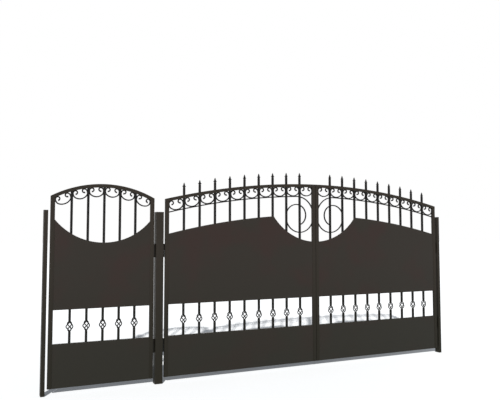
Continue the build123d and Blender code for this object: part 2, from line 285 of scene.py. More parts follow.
@dataclass(frozen=True)
class Sizes:
    """The gate's driving sizes. The origin is the middle of the middle post's foot.

    A value named `over` is what a drawn piece stands over its nominal size on each side, from the
    hammer, the mill and the paint; cross rails and outer posts have none. A value named `lap` is how
    far a piece runs into what carries it.
    """

    leaf_width: float = 1950
    leaf_crown_height: float = 2249
    leaf_bars: int = 9
    wicket_width: float = 1090
    wicket_crown_height: float = 2154
    wicket_bars: int = 5
    wicket_bar_pitch: float = 168.5
    corner_height: float = 2016
    side_gap: float = 25
    meeting_gap: float = 10
    ground_clearance: float = 65
    window_bottom: float = 508
    window_top: float = 850
    basket_height: float = 116

    middle_post: float = 80
    outer_post: float = 40
    stile_width: float = 40
    frame_depth: float = 30
    arch_rail_height: float = 32
    rail_height: float = 40
    rail_depth: float = 25
    tube_corner: float = 1.6
    bar: float = 20
    bar_corner: float = 0.9
    flat_thickness: float = 8
    flat_depth: float = 12
    flat_corner: float = 0.9

    middle_post_over: float = 2.0
    stile_over: float = 1.8
    arch_over: float = 2.0
    bar_over: float = 1.6
    flat_over: float = 2.5
    flat_depth_over: float = 1.0

    stile_lap: float = 0.5
    bar_lap: float = 1.0
    stem_lap: float = 0.2
    bend_lap: float = 15
    seat: float = 0.5

    @property
    def left_edge(self) -> float:
        """Hinged edge of the left leaf; the wicket's is as far to the left of the middle post."""
        return self.middle_post / 2 + self.side_gap

    @property
    def right_edge(self) -> float:
        """Hinged edge of the right leaf."""
        return self.left_edge + 2 * self.leaf_width + self.meeting_gap

    @property
    def left_post_x(self) -> float:
        """Middle of the post beside the wicket's free edge."""
        return -(self.left_edge + self.wicket_width + self.side_gap + self.outer_post / 2)

    @property
    def right_post_x(self) -> float:
        """Middle of the post that carries the right leaf."""
        return self.right_edge + self.side_gap + self.outer_post / 2

    @property
    def hinge_offset(self) -> float:
        """Distance of a hinge's axis from the panel's edge, to the middle of the gap."""
        return self.side_gap / 2

    @property
    def middle_y(self) -> float:
        """The panels' middle plane: their backs are flush with the posts' middle."""
        return -self.frame_depth / 2

    @property
    def drawn_bar(self) -> float:
        """Side of a square bar as it stands."""
        return self.bar + 2 * self.bar_over


SIZES = Sizes()


@dataclass(frozen=True)
class ScrollSizes:
    """A C scroll: its height over all, and the radii of its centre line's lobe, curl and lower corner.

    The belly rises by `belly_rise` from its lowest point to where the sides stand upright.
    """

    height: float
    lobe_radius: float
    curl_radius: float
    corner_radius: float
    belly_rise: float


@dataclass(frozen=True)
class Panel:
    """One hung panel, drawn from its hinged edge towards its free edge."""

    name: str
    hinged_edge: float
    hand: Hand
    width: float
    crown_u: float
    crown_height: float
    bar_centres: tuple[float, ...]
    scroll: ScrollSizes
    is_leaf: bool

    def x(self, u: Array | float) -> Array | float:
        """Place along the gate of a distance from the hinged edge."""
        return self.hinged_edge + self.hand.value * np.asarray(u, dtype=float)

    def u(self, x: Array | float) -> Array | float:
        """Distance from the hinged edge of a place along the gate."""
        return (np.asarray(x, dtype=float) - self.hinged_edge) * self.hand.value

    @property
    def arch_radius(self) -> float:
        """Radius of the circle through both corners and the crown."""
        rise = self.crown_height - SIZES.corner_height
        return (self.crown_u**2 + rise**2) / (2 * rise)

    @property
    def arch_centre(self) -> float:
        """Height of the arch's centre."""
        return self.crown_height - self.arch_radius

    def arch_z(self, u: Array | float, drop: float = 0.0) -> Array | float:
        """Height of the circle that runs the drop inside the arch's top."""
        return self.arch_centre + np.sqrt((self.arch_radius - drop) ** 2 - (u - self.crown_u) ** 2)

    def in_plane(self, points: Array) -> Array:
        """Points (u, z) on the panel's middle plane, as rows of x, y, z."""
        return np.stack([self.x(points[:, 0]), np.full(len(points), SIZES.middle_y), points[:, 1]], axis=1)

    def node(self, part: str) -> str:
        """Name of one of the panel's CAD nodes, or of a piece that is named like one."""
        return f"{self.name}_{part}"

    @property
    def free_stile(self) -> str:
        """What the stile away from the hinges is called."""
        return "meeting_stile" if self.is_leaf else "free_stile"

    @property
    def bays(self) -> list[tuple[float, float]]:
        """Clear bays between the stiles and bars.

        Returns:
            Start and end of each bay, in u.
        """
        half = SIZES.bar / 2
        edges = [SIZES.stile_width]
        for u in self.bar_centres:
            edges += [u - half, u + half]
        edges.append(self.width - SIZES.stile_width)
        return list(zip(edges[0::2], edges[1::2]))


# Finishes


def linear(colour: str) -> tuple[float, float, float, float]:
    """An sRGB hex colour as linear values."""
    values = [int(colour[i:i + 2], 16) / 255 for i in (0, 2, 4)]
    return (*(v / 12.92 if v <= 0.04045 else ((v + 0.055) / 1.055) ** 2.4 for v in values), 1.0)


def per_metre(size_mm: float) -> float:
    """Scale of a pattern whose features are the given size apart."""
    return 1000 / size_mm


def add_node(
    tree: bpy.types.NodeTree, kind: str, settings: dict | None = None, inputs: dict | None = None,
    links: dict | None = None,
) -> bpy.types.Node:
    """Add a node, set it and link it.

    Args:
        tree: The tree that gets the node.
        kind: The node's Blender type.
        settings: Its own properties by name.
        inputs: Values of its input sockets by name or number.
        links: Sockets to link into its inputs, by name or number.

    Returns:
        The new node.
    """
    node = tree.nodes.new(kind)
    for name, value in (settings or {}).items():
        setattr(node, name, value)
    for name, value in (inputs or {}).items():
        node.inputs[name].default_value = value
    for name, socket in (links or {}).items():
        tree.links.new(socket, node.inputs[name])
    return node


def seen_directly(tree: bpy.types.NodeTree) -> bpy.types.NodeSocket:
    """Ask whether a ray comes from the camera, a gloss or a glass.

    Args:
        tree: The tree that gets the nodes.

    Returns:
        A socket that is 1 for such rays, otherwise 0.
    """
    rays = add_node(tree, "ShaderNodeLightPath").outputs
    first = add_node(
        tree, "ShaderNodeMath", {"operation": "MAXIMUM"},
        links={0: rays["Is Camera Ray"], 1: rays["Is Glossy Ray"]},
    ).outputs["Value"]
    return add_node(
        tree, "ShaderNodeMath", {"operation": "MAXIMUM"}, links={0: first, 1: rays["Is Transmission Ray"]},
    ).outputs["Value"]


@dataclass(frozen=True)
class Enamel:
    """Oil-based enamel on steel: near black, with the warm cast of its brown pigment.

    The paint lies in a film with brush or roller marks, which are finer than a pixel from where the
    photographer stood. It thins to a browner undercoat in broad patches, and its colour is mixed
    darker towards the ground by height. On forged iron the hammer's blows show through it.
    """

    name: str
    slot: Slot
    colour: str
    undercoat: str
    roughness: float
    patch_mm: float
    texture_mm: float
    texture_depth_mm: float
    specular: float = 0.22
    stretch: tuple[float, float, float] = (1.0, 1.0, 1.0)
    hammered: bool = False
    blow_size: float = 2.6
    bump_strength: float = 0.6
    patch_range: tuple[float, float] = (0.46, 0.66)
    patch_share: float = 0.8
    smoother: float = 0.07
    rougher: float = 0.09
    # Darker colour mixed in by height, so that the paint is darker towards the ground
    ground_darkening: str = "1a1b12"
    darkening_top_mm: float = 1500
    darkening_foot_mm: float = 100
    darkening_share: float = 0.6

    def material(self) -> bpy.types.Material:
        """Build the material's nodes once.

        Returns:
            The material, which all pieces of this finish share.
        """
        made = bpy.data.materials.get(self.name)
        if made is not None:
            return made
        material = bpy.data.materials.new(self.name)
        material.use_nodes = True
        tree = material.node_tree
        tree.nodes.clear()
        place = add_node(tree, "ShaderNodeTexCoord").outputs["Object"]
        drawn = add_node(
            tree, "ShaderNodeMapping", inputs={"Scale": self.stretch}, links={"Vector": place},
        ).outputs["Vector"]
        patches = add_node(
            tree, "ShaderNodeTexNoise",
            inputs={"Scale": per_metre(self.patch_mm), "Detail": 5.0, "Roughness": 0.55},
            links={"Vector": drawn},
        ).outputs["Fac"]
        sheen = add_node(
            tree, "ShaderNodeMapRange",
            inputs={"To Min": self.roughness - self.smoother, "To Max": self.roughness + self.rougher},
            links={"Value": patches},
        ).outputs["Result"]
        shader = add_node(
            tree, "ShaderNodeBsdfPrincipled",
            inputs={"Metallic": 0.0, "IOR": 1.5, "Specular IOR Level": self.specular},
            links={
                "Base Color": self.coat(tree, place, patches), "Roughness": sheen,
                "Normal": self.relief(tree, drawn),
            },
        )
        add_node(tree, "ShaderNodeOutputMaterial", links={"Surface": shader.outputs["BSDF"]})
        return material

    def coat(
        self, tree: bpy.types.NodeTree, place: bpy.types.NodeSocket, patches: bpy.types.NodeSocket,
    ) -> bpy.types.NodeSocket:
        """Mix the paint's colour with its undercoat in patches, then with a darker colour by height, more of
        it towards the ground.

        Args:
            tree: The material's tree.
            place: Object coordinates.
            patches: The patches' noise.

        Returns:
            The colour.
        """
        low, high = self.patch_range
        patchy = add_node(
            tree, "ShaderNodeMapRange", {"interpolation_type": "SMOOTHSTEP"},
            {"From Min": low, "From Max": high, "To Max": self.patch_share}, {"Value": patches},
        ).outputs["Result"]
        coat = add_node(
            tree, "ShaderNodeMix", {"data_type": "RGBA"},
            {"A": linear(self.colour), "B": linear(self.undercoat)}, {"Factor": patchy},
        ).outputs["Result"]
        height = add_node(tree, "ShaderNodeSeparateXYZ", links={"Vector": place}).outputs["Z"]
        # Share of the darker colour, rising from nothing at the top height to its most at the foot height
        ground_darkening = add_node(
            tree, "ShaderNodeMapRange", {"interpolation_type": "SMOOTHSTEP"},
            {
                "From Min": self.darkening_top_mm * MM, "From Max": self.darkening_foot_mm * MM,
                "To Max": self.darkening_share,
            },
            {"Value": height},
        ).outputs["Result"]
        return add_node(
            tree, "ShaderNodeMix", {"data_type": "RGBA"}, {"B": linear(self.ground_darkening)},
            {"Factor": ground_darkening, "A": coat},
        ).outputs["Result"]

    def relief(self, tree: bpy.types.NodeTree, drawn: bpy.types.NodeSocket) -> bpy.types.NodeSocket:
        """Bump of the marks in the film and, where it is hammered, of the blows under it.

        Args:
            tree: The material's tree.
            drawn: Coordinates stretched along the brush's way.

        Returns:
            The normal.
        """
        height = add_node(
            tree, "ShaderNodeTexNoise",
            inputs={"Scale": per_metre(self.texture_mm), "Detail": 3.0, "Roughness": 0.6},
            links={"Vector": drawn},
        ).outputs["Fac"]
        if self.hammered:
            blows = add_node(
                tree, "ShaderNodeTexVoronoi", {"feature": "SMOOTH_F1"},
                {"Scale": per_metre(self.blow_size * self.texture_mm), "Smoothness": 0.8}, {"Vector": drawn},
            ).outputs["Distance"]
            height = add_node(
                tree, "ShaderNodeMath", {"operation": "ADD"}, links={0: height, 1: blows},
            ).outputs["Value"]
        return add_node(
            tree, "ShaderNodeBump",
            inputs={"Strength": self.bump_strength, "Distance": self.texture_depth_mm * MM},
            links={"Height": height},
        ).outputs["Normal"]


# Welded tube: satin enamel, brushed on lengthways
TUBE_ENAMEL = Enamel(
    "brushed_enamel_on_steel_tube", Slot.FRAME, "2f2a24", "322b24", roughness=0.5, patch_mm=260,
    texture_mm=2.2, texture_depth_mm=0.12, specular=0.12, stretch=(1.0, 1.0, 0.12),
)
# Rolled sheet: the same enamel, rolled on, with a stipple and broad red-brown thin places
SHEET_ENAMEL = Enamel(
    "rolled_enamel_on_steel_sheet", Slot.SHEET, "28231d", "2e201c", roughness=0.52, patch_mm=620,
    texture_mm=2.6, texture_depth_mm=0.10,
)
# Forged bar and flat: blacker, over a surface that keeps the hammer's marks
FORGED_ENAMEL = Enamel(
    "black_enamel_on_forged_iron", Slot.IRONWORK, "141312", "1b1815", roughness=0.46, patch_mm=120,
    texture_mm=4.0, texture_depth_mm=0.16, specular=0.14, hammered=True,
)
# Hinges: steel barrels painted with the frame, darker with grease
HINGE_ENAMEL = Enamel(
    "greasy_enamel_on_turned_steel", Slot.HINGE, "1f1c1a", "2a211c", roughness=0.4, patch_mm=60,
    texture_mm=1.6, texture_depth_mm=0.06,
)


@dataclass(frozen=True)
class WhiteSweep:
    """Matt white floor of a studio: a lamp lights it, and to the camera it glows a little besides.

    The glow grows with the distance from the gate, so that the floor runs into the sky without a line.
    """

    name: str = "matt_white_studio_floor"
    colour: str = "fbfbfa"
    near_glow: float = 0.045
    far_glow: float = 0.2
    near_mm: float = 1500
    far_mm: float = 7000

    def material(self) -> bpy.types.Material:
        """Build the floor's material: diffuse white, plus the glow.

        Returns:
            The new material.
        """
        material = bpy.data.materials.new(self.name)
        material.use_nodes = True
        tree = material.node_tree
        tree.nodes.clear()
        place = add_node(tree, "ShaderNodeTexCoord").outputs["Object"]
        distance = add_node(
            tree, "ShaderNodeVectorMath", {"operation": "LENGTH"}, links={0: place},
        ).outputs["Value"]
        glow = add_node(
            tree, "ShaderNodeMapRange", {"interpolation_type": "SMOOTHSTEP"},
            {
                "From Min": self.near_mm * MM, "From Max": self.far_mm * MM, "To Min": self.near_glow,
                "To Max": self.far_glow,
            },
            {"Value": distance},
        ).outputs["Result"]
        strength = add_node(
            tree, "ShaderNodeMath", {"operation": "MULTIPLY"}, links={0: seen_directly(tree), 1: glow},
        ).outputs["Value"]
        white = add_node(tree, "ShaderNodeBsdfDiffuse", inputs={"Color": linear(self.colour)}).outputs["BSDF"]
        light = add_node(tree, "ShaderNodeEmission", links={"Strength": strength}).outputs["Emission"]
        both = add_node(tree, "ShaderNodeAddShader", links={0: white, 1: light}).outputs["Shader"]
        add_node(tree, "ShaderNodeOutputMaterial", links={"Surface": both})
        return material


# Fitting pieces to the frame


def fit(form: Form, name: str, body: str, finish: Enamel, nodes: tuple[str, ...] = ()) -> bpy.types.Object:
    """Make a piece, give it its finish, and let it ride and stand for its nodes.

    Args:
        form: The piece's surface.
        name: Its name.
        body: The CAD body that it moves with.
        finish: Its paint.
        nodes: CAD nodes that it stands for.

    Returns:
        The finished object.
    """
    piece = form.to_object(name)
    piece.data.materials.append(finish.material())
    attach(piece, body)
    if nodes:
        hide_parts(*nodes)
    log.info("%s: %d faces on %s", name, len(piece.data.polygons), body)
    return piece


def hang(panel: Panel, form: Form, name: str, finish: Enamel, *parts: str) -> None:
    """Fit a piece to a panel; its name, and the parts that it stands for, are told without the panel's."""
    fit(form, panel.node(name), panel.name, finish, tuple(panel.node(part) for part in parts))


def dress(node: str, finish: Enamel) -> None:
    """Paint a CAD node whose shape is shown as it is.

    Args:
        node: The node's name.
        finish: Its paint.
    """
    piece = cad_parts[node]
    piece.data.materials.clear()
    piece.data.materials.append(finish.material())
    log.info("%s: dressed", node)


# Sub-assemblies


@dataclass
class Posts:
    """Three posts of square and oblong tube under welded closing plates."""

    height: float = 1870
    depth: float = 80
    corner: float = 2.0
    corner_steps: int = 5
    cap: float = 5
    cap_edge: float = 1.5
    cap_edge_points: int = 5

    def build(self) -> None:
        """Make each post, and all the caps as one piece."""
        s = SIZES
        posts = {
            "left_post": (s.left_post_x, s.outer_post),
            "middle_post": (0.0, s.middle_post + 2 * s.middle_post_over),
            "right_post": (s.right_post_x, s.outer_post),
        }
        caps: list[Form] = []
        for name, (x, width) in posts.items():
            section = rounded_section(width, self.depth, self.corner, self.corner_steps)
            tube = upright(x, 0, 0, self.height - self.cap, section)
            fit(tube, f"{name}_tube", "posts", TUBE_ENAMEL, (name,))
            caps.append(self.plate(x, section))
        fit(Form.joined(caps), "post_cap_plates", "posts", TUBE_ENAMEL, ("post_caps",))

    def plate(self, x: float, section: Array) -> Form:
        """A closing plate: the post's section, its top edge drawn in over a quarter round.

        Args:
            x: Place of the post's middle.
            section: The post's offsets.

        Returns:
            The closed form.
        """
        turn = np.linspace(0, np.pi / 2, self.cap_edge_points)
        foot = self.height - self.cap
        heights = np.concatenate([[foot], self.height - self.cap_edge * (1 - np.sin(turn))])
        inset = np.concatenate([[0.0], self.cap_edge * (1 - np.cos(turn))])
        scale = 1 - inset[:, None] / np.abs(section).max(axis=0)
        return carried(standing(x, 0, heights), RIGHT, BACK, section, scale)


@dataclass
class Hinges:
    """Lift-off hinges: a barrel with a pin on the post, a bored one on the panel above it.

    A barrel's edges are eased over one point between, which lies a share of the easing from the edge.
    The pin's dome is given as radii and depths under its tip.
    """

    heights: tuple[float, ...] = (335, 1370)
    radius: float = 10.4
    nominal_radius: float = 10
    knuckle: float = 74
    easing: float = 1.2
    edge_share: float = 0.3
    crown_share: float = 0.4
    crown_radius: float = 2.0
    pin_radius: float = 5
    pin_reach: float = 60
    pin_room: float = 0.5
    pin_dome: tuple[tuple[float, float], ...] = ((5.0, 3.0), (4.2, 1.0), (2.2, 0.0))
    bore_radius: float = 5.05
    mouth: float = 0.6
    gap: float = 0.3
    strap: float = 8
    strap_edge: float = 0.8

    def barrel(self, foot: float, top_share: float) -> list[tuple[float, float]]:
        """Outside of a barrel, from its foot to its top.

        Args:
            foot: Height of its foot.
            top_share: The share for its upper edge.

        Returns:
            Rows of radius and height.
        """
        r, e, top = self.radius, self.easing, foot + self.knuckle
        low, high = self.edge_share * e, top_share * e
        below = [(r - e, foot), (r - low, foot + low), (r, foot + e)]
        return below + [(r, top - e), (r - high, top - high), (r - e, top)]

    def lower(self, x: float, foot: float) -> Form:
        """Barrel and pin as one turned solid, the pin's end domed.

        Args:
            x: Place of the hinge's axis.
            foot: Height of the barrel's foot.

        Returns:
            The closed form.
        """
        top = foot + self.knuckle
        tip = top + self.pin_reach - self.pin_room
        pin = [(self.pin_radius, top)] + [(radius, tip - depth) for radius, depth in self.pin_dome]
        return turned(x, 0, np.array(self.barrel(foot, self.edge_share) + pin))

    def upper(self, x: float, foot: float) -> Form:
        """Barrel with a blind bore: the profile starts at the bore's end and comes out at its mouth.

        Args:
            x: Place of the hinge's axis.
            foot: Height of the barrel's foot.

        Returns:
            The closed form.
        """
        bore = [
            (self.bore_radius, foot + self.pin_reach), (self.bore_radius, foot + self.mouth),
            (self.bore_radius + self.mouth, foot),
        ]
        crown = [(self.crown_radius, foot + self.knuckle)]
        return turned(x, 0, np.array(bore + self.barrel(foot, self.crown_share) + crown))

    def plate(self, panel: Panel, foot: float, face_u: float) -> Form:
        """The strap from a barrel to the face that it is welded to, set behind the face on the panel.

        Args:
            panel: The panel beside the hinge.
            foot: Height of the strap's foot.
            face_u: Place of the face: 0 on the panel, under 0 on the post.

        Returns:
            The closed form.
        """
        reach = self.nominal_radius - self.strap / 2
        on_panel = face_u >= 0
        inner = -SIZES.hinge_offset + (reach if on_panel else -reach)
        ends = np.sort(panel.x(np.array([inner, face_u])))
        y = -self.strap / 2 if on_panel else 0.0
        section = rounded_section(ends[1] - ends[0], self.strap, self.strap_edge, steps=2)
        return upright(float(ends.mean()), y, foot, foot + self.knuckle, section, edge=self.strap_edge)

    def build(self, panels: tuple[Panel, ...]) -> None:
        """Make the posts' halves as one piece and each panel's halves as another.

        Args:
            panels: The hung panels.
        """
        on_posts: list[Form] = []
        for panel in panels:
            x = float(panel.x(-SIZES.hinge_offset))
            on_panel: list[Form] = []
            for foot in self.heights:
                on_posts += [self.lower(x, foot), self.plate(panel, foot, -SIZES.side_gap)]
                above = foot + self.knuckle + self.gap
                on_panel += [self.upper(x, above), self.plate(panel, above, 0.0)]
            hang(panel, Form.joined(on_panel), "hinge_halves", HINGE_ENAMEL, "hinge_knuckles")
        fit(Form.joined(on_posts), "post_hinge_halves", "posts", HINGE_ENAMEL, ("post_hinges",))


@dataclass
class TubeFrame:
    """The welded frame of one panel: two stiles, an arched rail over them and three cross rails."""

    panel: Panel
    arch_points: int = 97

    def stile(self, u: float) -> Form:
        """One stile, its top cut to the arch's underside.

        Args:
            u: Where its nominal width starts.

        Returns:
            The closed form.
        """
        panel, s = self.panel, SIZES
        section = rounded_section(s.stile_width + 2 * s.stile_over, s.frame_depth, s.tube_corner)
        return upright(
            float(panel.x(u + s.stile_width / 2)), s.middle_y, s.ground_clearance, s.corner_height, section,
            top=lambda x: panel.arch_z(panel.u(x), s.arch_rail_height - s.stile_lap),
        )

    def arch_rail(self) -> Form:
        """The arched rail in upright slices, where each section point keeps its own circle.

        A point that lies a below the rail's middle is at height centre + sqrt((radius - a)^2 - u^2).

        Returns:
            The closed form.
        """
        s, panel = SIZES, self.panel
        section = rounded_section(s.arch_rail_height + 2 * s.arch_over, s.frame_depth, s.tube_corner)
        u = np.linspace(-s.stile_over, panel.width + s.stile_over, self.arch_points)
        flat = np.stack([u, panel.arch_z(u, s.arch_rail_height / 2)], axis=1)
        form = bent_flat(panel.in_plane(flat), section)
        drop = s.arch_rail_height / 2 + panel.hand.value * section[:, 0]
        slices = form.vertices.reshape(len(u), len(section), 3)
        slices[..., 0] = panel.x(u)[:, None]
        slices[..., 2] = panel.arch_z(u[:, None], drop[None, :])
        return Form(slices.reshape(-1, 3), form.faces)

    def cross_rails(self) -> Form:
        """Bottom rail, window sill and window head, behind the sheets.

        Returns:
            The three as one form.
        """
        s, panel = SIZES, self.panel
        ends = np.sort(panel.x(np.array([s.stile_width, panel.width - s.stile_width])))
        section = rounded_section(s.rail_height, s.rail_depth, s.tube_corner)
        feet = (s.ground_clearance, s.window_bottom - s.rail_height, s.window_top)
        return Form.joined(
            [level(foot + s.rail_height / 2, -s.rail_depth / 2, ends[0], ends[1], section) for foot in feet]
        )

    def build(self) -> None:
        """Make the frame's pieces and dress the sheets that it carries."""
        panel = self.panel
        stiles = Form.joined([self.stile(0), self.stile(panel.width - SIZES.stile_width)])
        hang(panel, stiles, "stile_tubes", TUBE_ENAMEL, "hinge_stile", panel.free_stile)
        hang(panel, self.arch_rail(), "arch_tube", TUBE_ENAMEL, "arch_rail")
        hang(panel, self.cross_rails(), "rail_tubes", TUBE_ENAMEL, "cross_rails")
        for sheet in ("lower_sheet", "upper_sheet"):
            dress(panel.node(sheet), SHEET_ENAMEL)


@dataclass
class Bars:
    """The upright square bars of one panel, the balusters under them and, on a leaf, the spears.

    A spearhead's stages are heights over its foot, half widths and half depths: the shoulder's barbs
    stand out to the sides, and the blade over them tapers to a blunt point.
    """

    panel: Panel
    spear_reach: float = 142
    head_corner: float = 0.35
    head_stages: tuple[tuple[float, float, float], ...] = (
        (0.0, 11.6, 11.6), (2.5, 9.6, 9.6), (5.5, 11.0, 9.0), (8.0, 18.5, 8.6), (10.5, 21.5, 8.2),
        (13.5, 19.0, 7.8), (17.5, 13.0, 7.6), (22.0, 11.2, 7.2), (32.0, 9.2, 6.2), (42.0, 6.2, 4.6),
        (50.0, 3.3, 2.8), (53.2, 2.2, 1.9), (54.0, 1.2, 1.0),
    )

    @property
    def section(self) -> Array:
        """The drawn bar's section, its edges just broken."""
        return rounded_section(SIZES.drawn_bar, SIZES.drawn_bar, SIZES.bar_corner, steps=2)

    def uprights(self) -> Form:
        """Bars from the window head to the underside of the arch.

        Returns:
            All of them as one form.
        """
        s, panel = SIZES, self.panel
        return Form.joined([
            upright(
                float(panel.x(u)), s.middle_y, s.window_top + s.rail_height, s.corner_height, self.section,
                top=lambda x: panel.arch_z(panel.u(x), s.arch_rail_height - s.bar_lap),
            )
            for u in panel.bar_centres
        ])

    def balusters(self) -> Form:
        """The bars' lower lengths, above and below each basket.

        Returns:
            All of them as one form.
        """
        s, half = SIZES, SIZES.basket_height / 2
        middle = (s.window_bottom + s.window_top) / 2
        reaches = ((s.window_bottom, middle - half), (middle + half, s.window_top))
        return Form.joined([
            upright(float(self.panel.x(u)), s.middle_y, low, high, self.section)
            for u in self.panel.bar_centres for low, high in reaches
        ])

    def spearhead(self, x: float, foot: float) -> Form:
        """A forged head: a square section drawn out along its stages.

        Args:
            x: Place of its middle.
            foot: Height of its foot.

        Returns:
            The closed form.
        """
        stages = np.array(self.head_stages)
        unit = rounded_section(2.0, 2.0, self.head_corner)
        path = standing(x, SIZES.middle_y, foot + stages[:, 0])
        return carried(path, RIGHT, BACK, unit, stages[:, 1:])

    def spears(self) -> Form:
        """A stem on the arch over each bar, and its head.

        Returns:
            All of them as one form.
        """
        s, panel = SIZES, self.panel
        head_length = self.head_stages[-1][0]
        forms: list[Form] = []
        for u in panel.bar_centres:
            x, neck = float(panel.x(u)), float(panel.arch_z(u)) + self.spear_reach - head_length
            stem = upright(x, s.middle_y, 0, neck, self.section)
            foot = stem.vertices[:len(self.section)]
            foot[:, 2] = panel.arch_z(panel.u(foot[:, 0])) - s.stem_lap
            forms += [stem, self.spearhead(x, neck)]
        return Form.joined(forms)

    def build(self) -> None:
        """Make the bars, balusters and spears."""
        hang(self.panel, self.uprights(), "square_bars", FORGED_ENAMEL, "bars")
        hang(self.panel, self.balusters(), "baluster_bars", FORGED_ENAMEL, "balusters")
        if self.panel.is_leaf:
            hang(self.panel, self.spears(), "forged_spears", FORGED_ENAMEL, "spears")


@dataclass
class Baskets:
    """The baskets of one panel: four round wires twisted half a turn, swelling between two drawn necks."""

    panel: Panel
    wires: int = 4
    wire: float = 11.5
    wire_corners: int = 10
    wire_rings: int = 33
    wire_lap: float = 5
    first_wire_degrees: float = 2
    twist_degrees: float = 180
    swell_radius: float = 33.5
    swell_power: float = 0.9
    depth_share: float = 0.79
    neck: float = 12
    neck_radius: float = 5.0
    neck_width: float = 0.62
    neck_corner: float = 2.0
    neck_rings: int = 7

    def one_wire(self, phase: float) -> Form:
        """One wire about the origin: radius = neck + swell * sin(pi t)^power, angle rising evenly with t.

        From front to back the radius is only its depth share, because the cage is pressed a little flat.

        Args:
            phase: Angle at which the wire starts.

        Returns:
            The closed form.
        """
        t = np.linspace(0, 1, self.wire_rings)
        swell = np.sin(np.pi * t) ** self.swell_power
        radius = self.neck_radius + (self.swell_radius - self.neck_radius) * swell
        angle = phase + np.radians(self.twist_degrees) * t
        start = self.neck - self.wire_lap
        rise = start + (SIZES.basket_height - 2 * start) * t
        outwards = np.stack([np.cos(angle), np.sin(angle), np.zeros_like(t)], axis=1)
        flat = np.array([1.0, self.depth_share, 1.0])
        path = outwards * flat * radius[:, None] + rise[:, None] * UP
        along = directions(path)
        across = outwards - (outwards * along).sum(axis=1, keepdims=True) * along
        across /= np.linalg.norm(across, axis=1, keepdims=True)
        return carried(path, across, np.cross(along, across), round_section(self.wire / 2, self.wire_corners))

    def drawn_neck(self, foot: float, tip: float) -> Form:
        """The bar's end drawn down over its last length, as a half cosine from full width to the neck's.

        Args:
            foot: Height where it has the bar's width.
            tip: Height where it has the neck's.

        Returns:
            The closed form.
        """
        t = np.linspace(0, 1, self.neck_rings)
        width = self.neck_width + (1 - self.neck_width) * (0.5 + 0.5 * np.cos(np.pi * t))
        across = RIGHT if tip > foot else -RIGHT
        section = rounded_section(SIZES.drawn_bar, SIZES.drawn_bar, self.neck_corner)
        path = standing(0.0, 0.0, foot + (tip - foot) * t)
        return carried(path, across, BACK, section, np.stack([width, width], axis=1))

    def build(self) -> None:
        """Make one basket and set a copy on every baluster."""
        panel, height = self.panel, SIZES.basket_height
        phases = np.radians(self.first_wire_degrees) + np.arange(self.wires) * 2 * np.pi / self.wires
        parts = [self.one_wire(phase) for phase in phases]
        parts += [self.drawn_neck(0, self.neck), self.drawn_neck(height, height - self.neck)]
        basket = Form.joined(parts)
        foot = (SIZES.window_bottom + SIZES.window_top - height) / 2
        copies = [
            Form(basket.vertices + np.array([float(panel.x(u)), SIZES.middle_y, foot]), basket.faces)
            for u in panel.bar_centres
        ]
        hang(panel, Form.joined(copies), "wire_baskets", FORGED_ENAMEL, "baskets")


